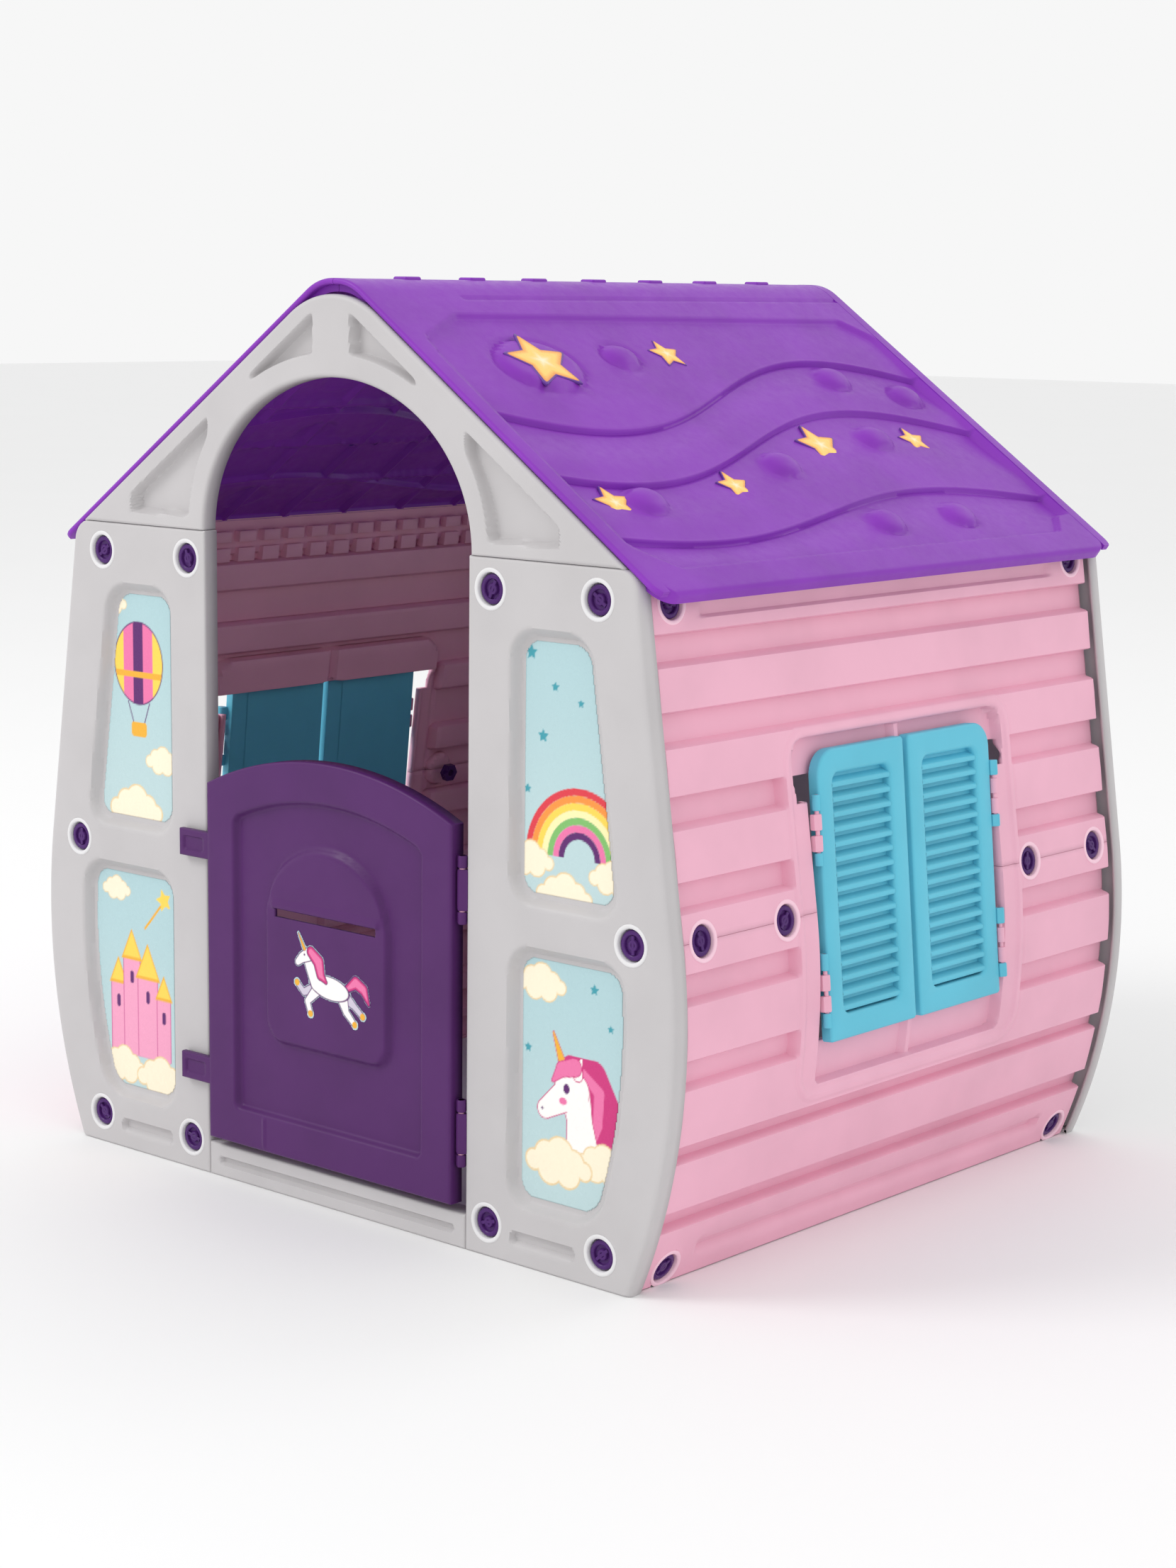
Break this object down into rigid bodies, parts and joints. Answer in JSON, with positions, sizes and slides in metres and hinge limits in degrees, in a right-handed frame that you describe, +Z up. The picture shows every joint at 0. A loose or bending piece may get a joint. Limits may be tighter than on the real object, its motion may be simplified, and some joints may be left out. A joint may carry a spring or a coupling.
{
  "type": "plastic playhouse",
  "caption": "Child's moulded plastic garden playhouse with a gabled roof, an arched doorway with a hinged half door, and hinged window shutters.",
  "frame": {"origin": "on the ground at the centre of the cabin's footprint", "axes": "+X to the right of someone facing the door, -Y out of the door, +Z up"},
  "size_m": [1.046, 0.912, 1.09],
  "materials": {
    "white": "pale warm grey moulded polyethylene, fine satin grain",
    "pink": "pale pink moulded polyethylene, fine satin grain",
    "roof_purple": "bright violet moulded polyethylene, satin",
    "door_purple": "deep purple moulded polyethylene, satin",
    "shutter_blue": "light blue moulded polyethylene, satin",
    "pin_pink": "pink moulded pins",
    "bolt_purple": "dark purple moulded fasteners",
    "printed_sheet": "glossy printed film in pale blue, pink, yellow and cream"
  },
  "bodies": {
    "house": {"front_left_panel": "white", "front_right_panel": "white", "rear_left_panel": "white", "rear_right_panel": "white", "front_gable": "white", "rear_gable": "white", "door_sill": "white", "rear_infill": "white", "left_wall_lower": "pink", "left_wall_upper": "pink", "right_wall_lower": "pink", "right_wall_upper": "pink", "roof_left": "roof_purple", "roof_right": "roof_purple", "left_shutter_pins": "pin_pink", "right_shutter_pins": "pin_pink", "front_bolts": "bolt_purple", "front_nuts": "bolt_purple", "rear_bolts": "bolt_purple", "rear_nuts": "bolt_purple", "left_wall_bolts": "bolt_purple", "left_wall_nuts": "bolt_purple", "right_wall_bolts": "bolt_purple", "right_wall_nuts": "bolt_purple", "left_upper_decal": "printed_sheet", "left_lower_decal": "printed_sheet", "right_upper_decal": "printed_sheet", "right_lower_decal": "printed_sheet"},
    "door": {"door": "door_purple", "door_pins": "door_purple", "door_decal": "printed_sheet"},
    "left_front_shutter": {"left_front_shutter": "shutter_blue"},
    "left_rear_shutter": {"left_rear_shutter": "shutter_blue"},
    "right_front_shutter": {"right_front_shutter": "shutter_blue"},
    "right_rear_shutter": {"right_rear_shutter": "shutter_blue"}
  },
  "joints": [
    {"name": "door_hinge", "type": "hinge", "parent": "house", "child": "door", "pos_m": [0.2094, -0.45, 0.4], "axis": [0, 0, 1], "range_deg": [0, 110]},
    {"name": "left_front_shutter_hinge", "type": "hinge", "parent": "house", "child": "left_front_shutter", "pos_m": [-0.50363, -0.177, 0.408], "axis": [0.0956, 0, 0.9954], "range_deg": [0, 150]},
    {"name": "left_rear_shutter_hinge", "type": "hinge", "parent": "house", "child": "left_rear_shutter", "pos_m": [-0.50363, 0.177, 0.408], "axis": [-0.0956, 0, -0.9954], "range_deg": [0, 150]},
    {"name": "right_front_shutter_hinge", "type": "hinge", "parent": "house", "child": "right_front_shutter", "pos_m": [0.50363, -0.177, 0.408], "axis": [0.0956, 0, -0.9954], "range_deg": [0, 150]},
    {"name": "right_rear_shutter_hinge", "type": "hinge", "parent": "house", "child": "right_rear_shutter", "pos_m": [0.50363, 0.177, 0.408], "axis": [-0.0956, 0, 0.9954], "range_deg": [0, 150]}
  ]
}
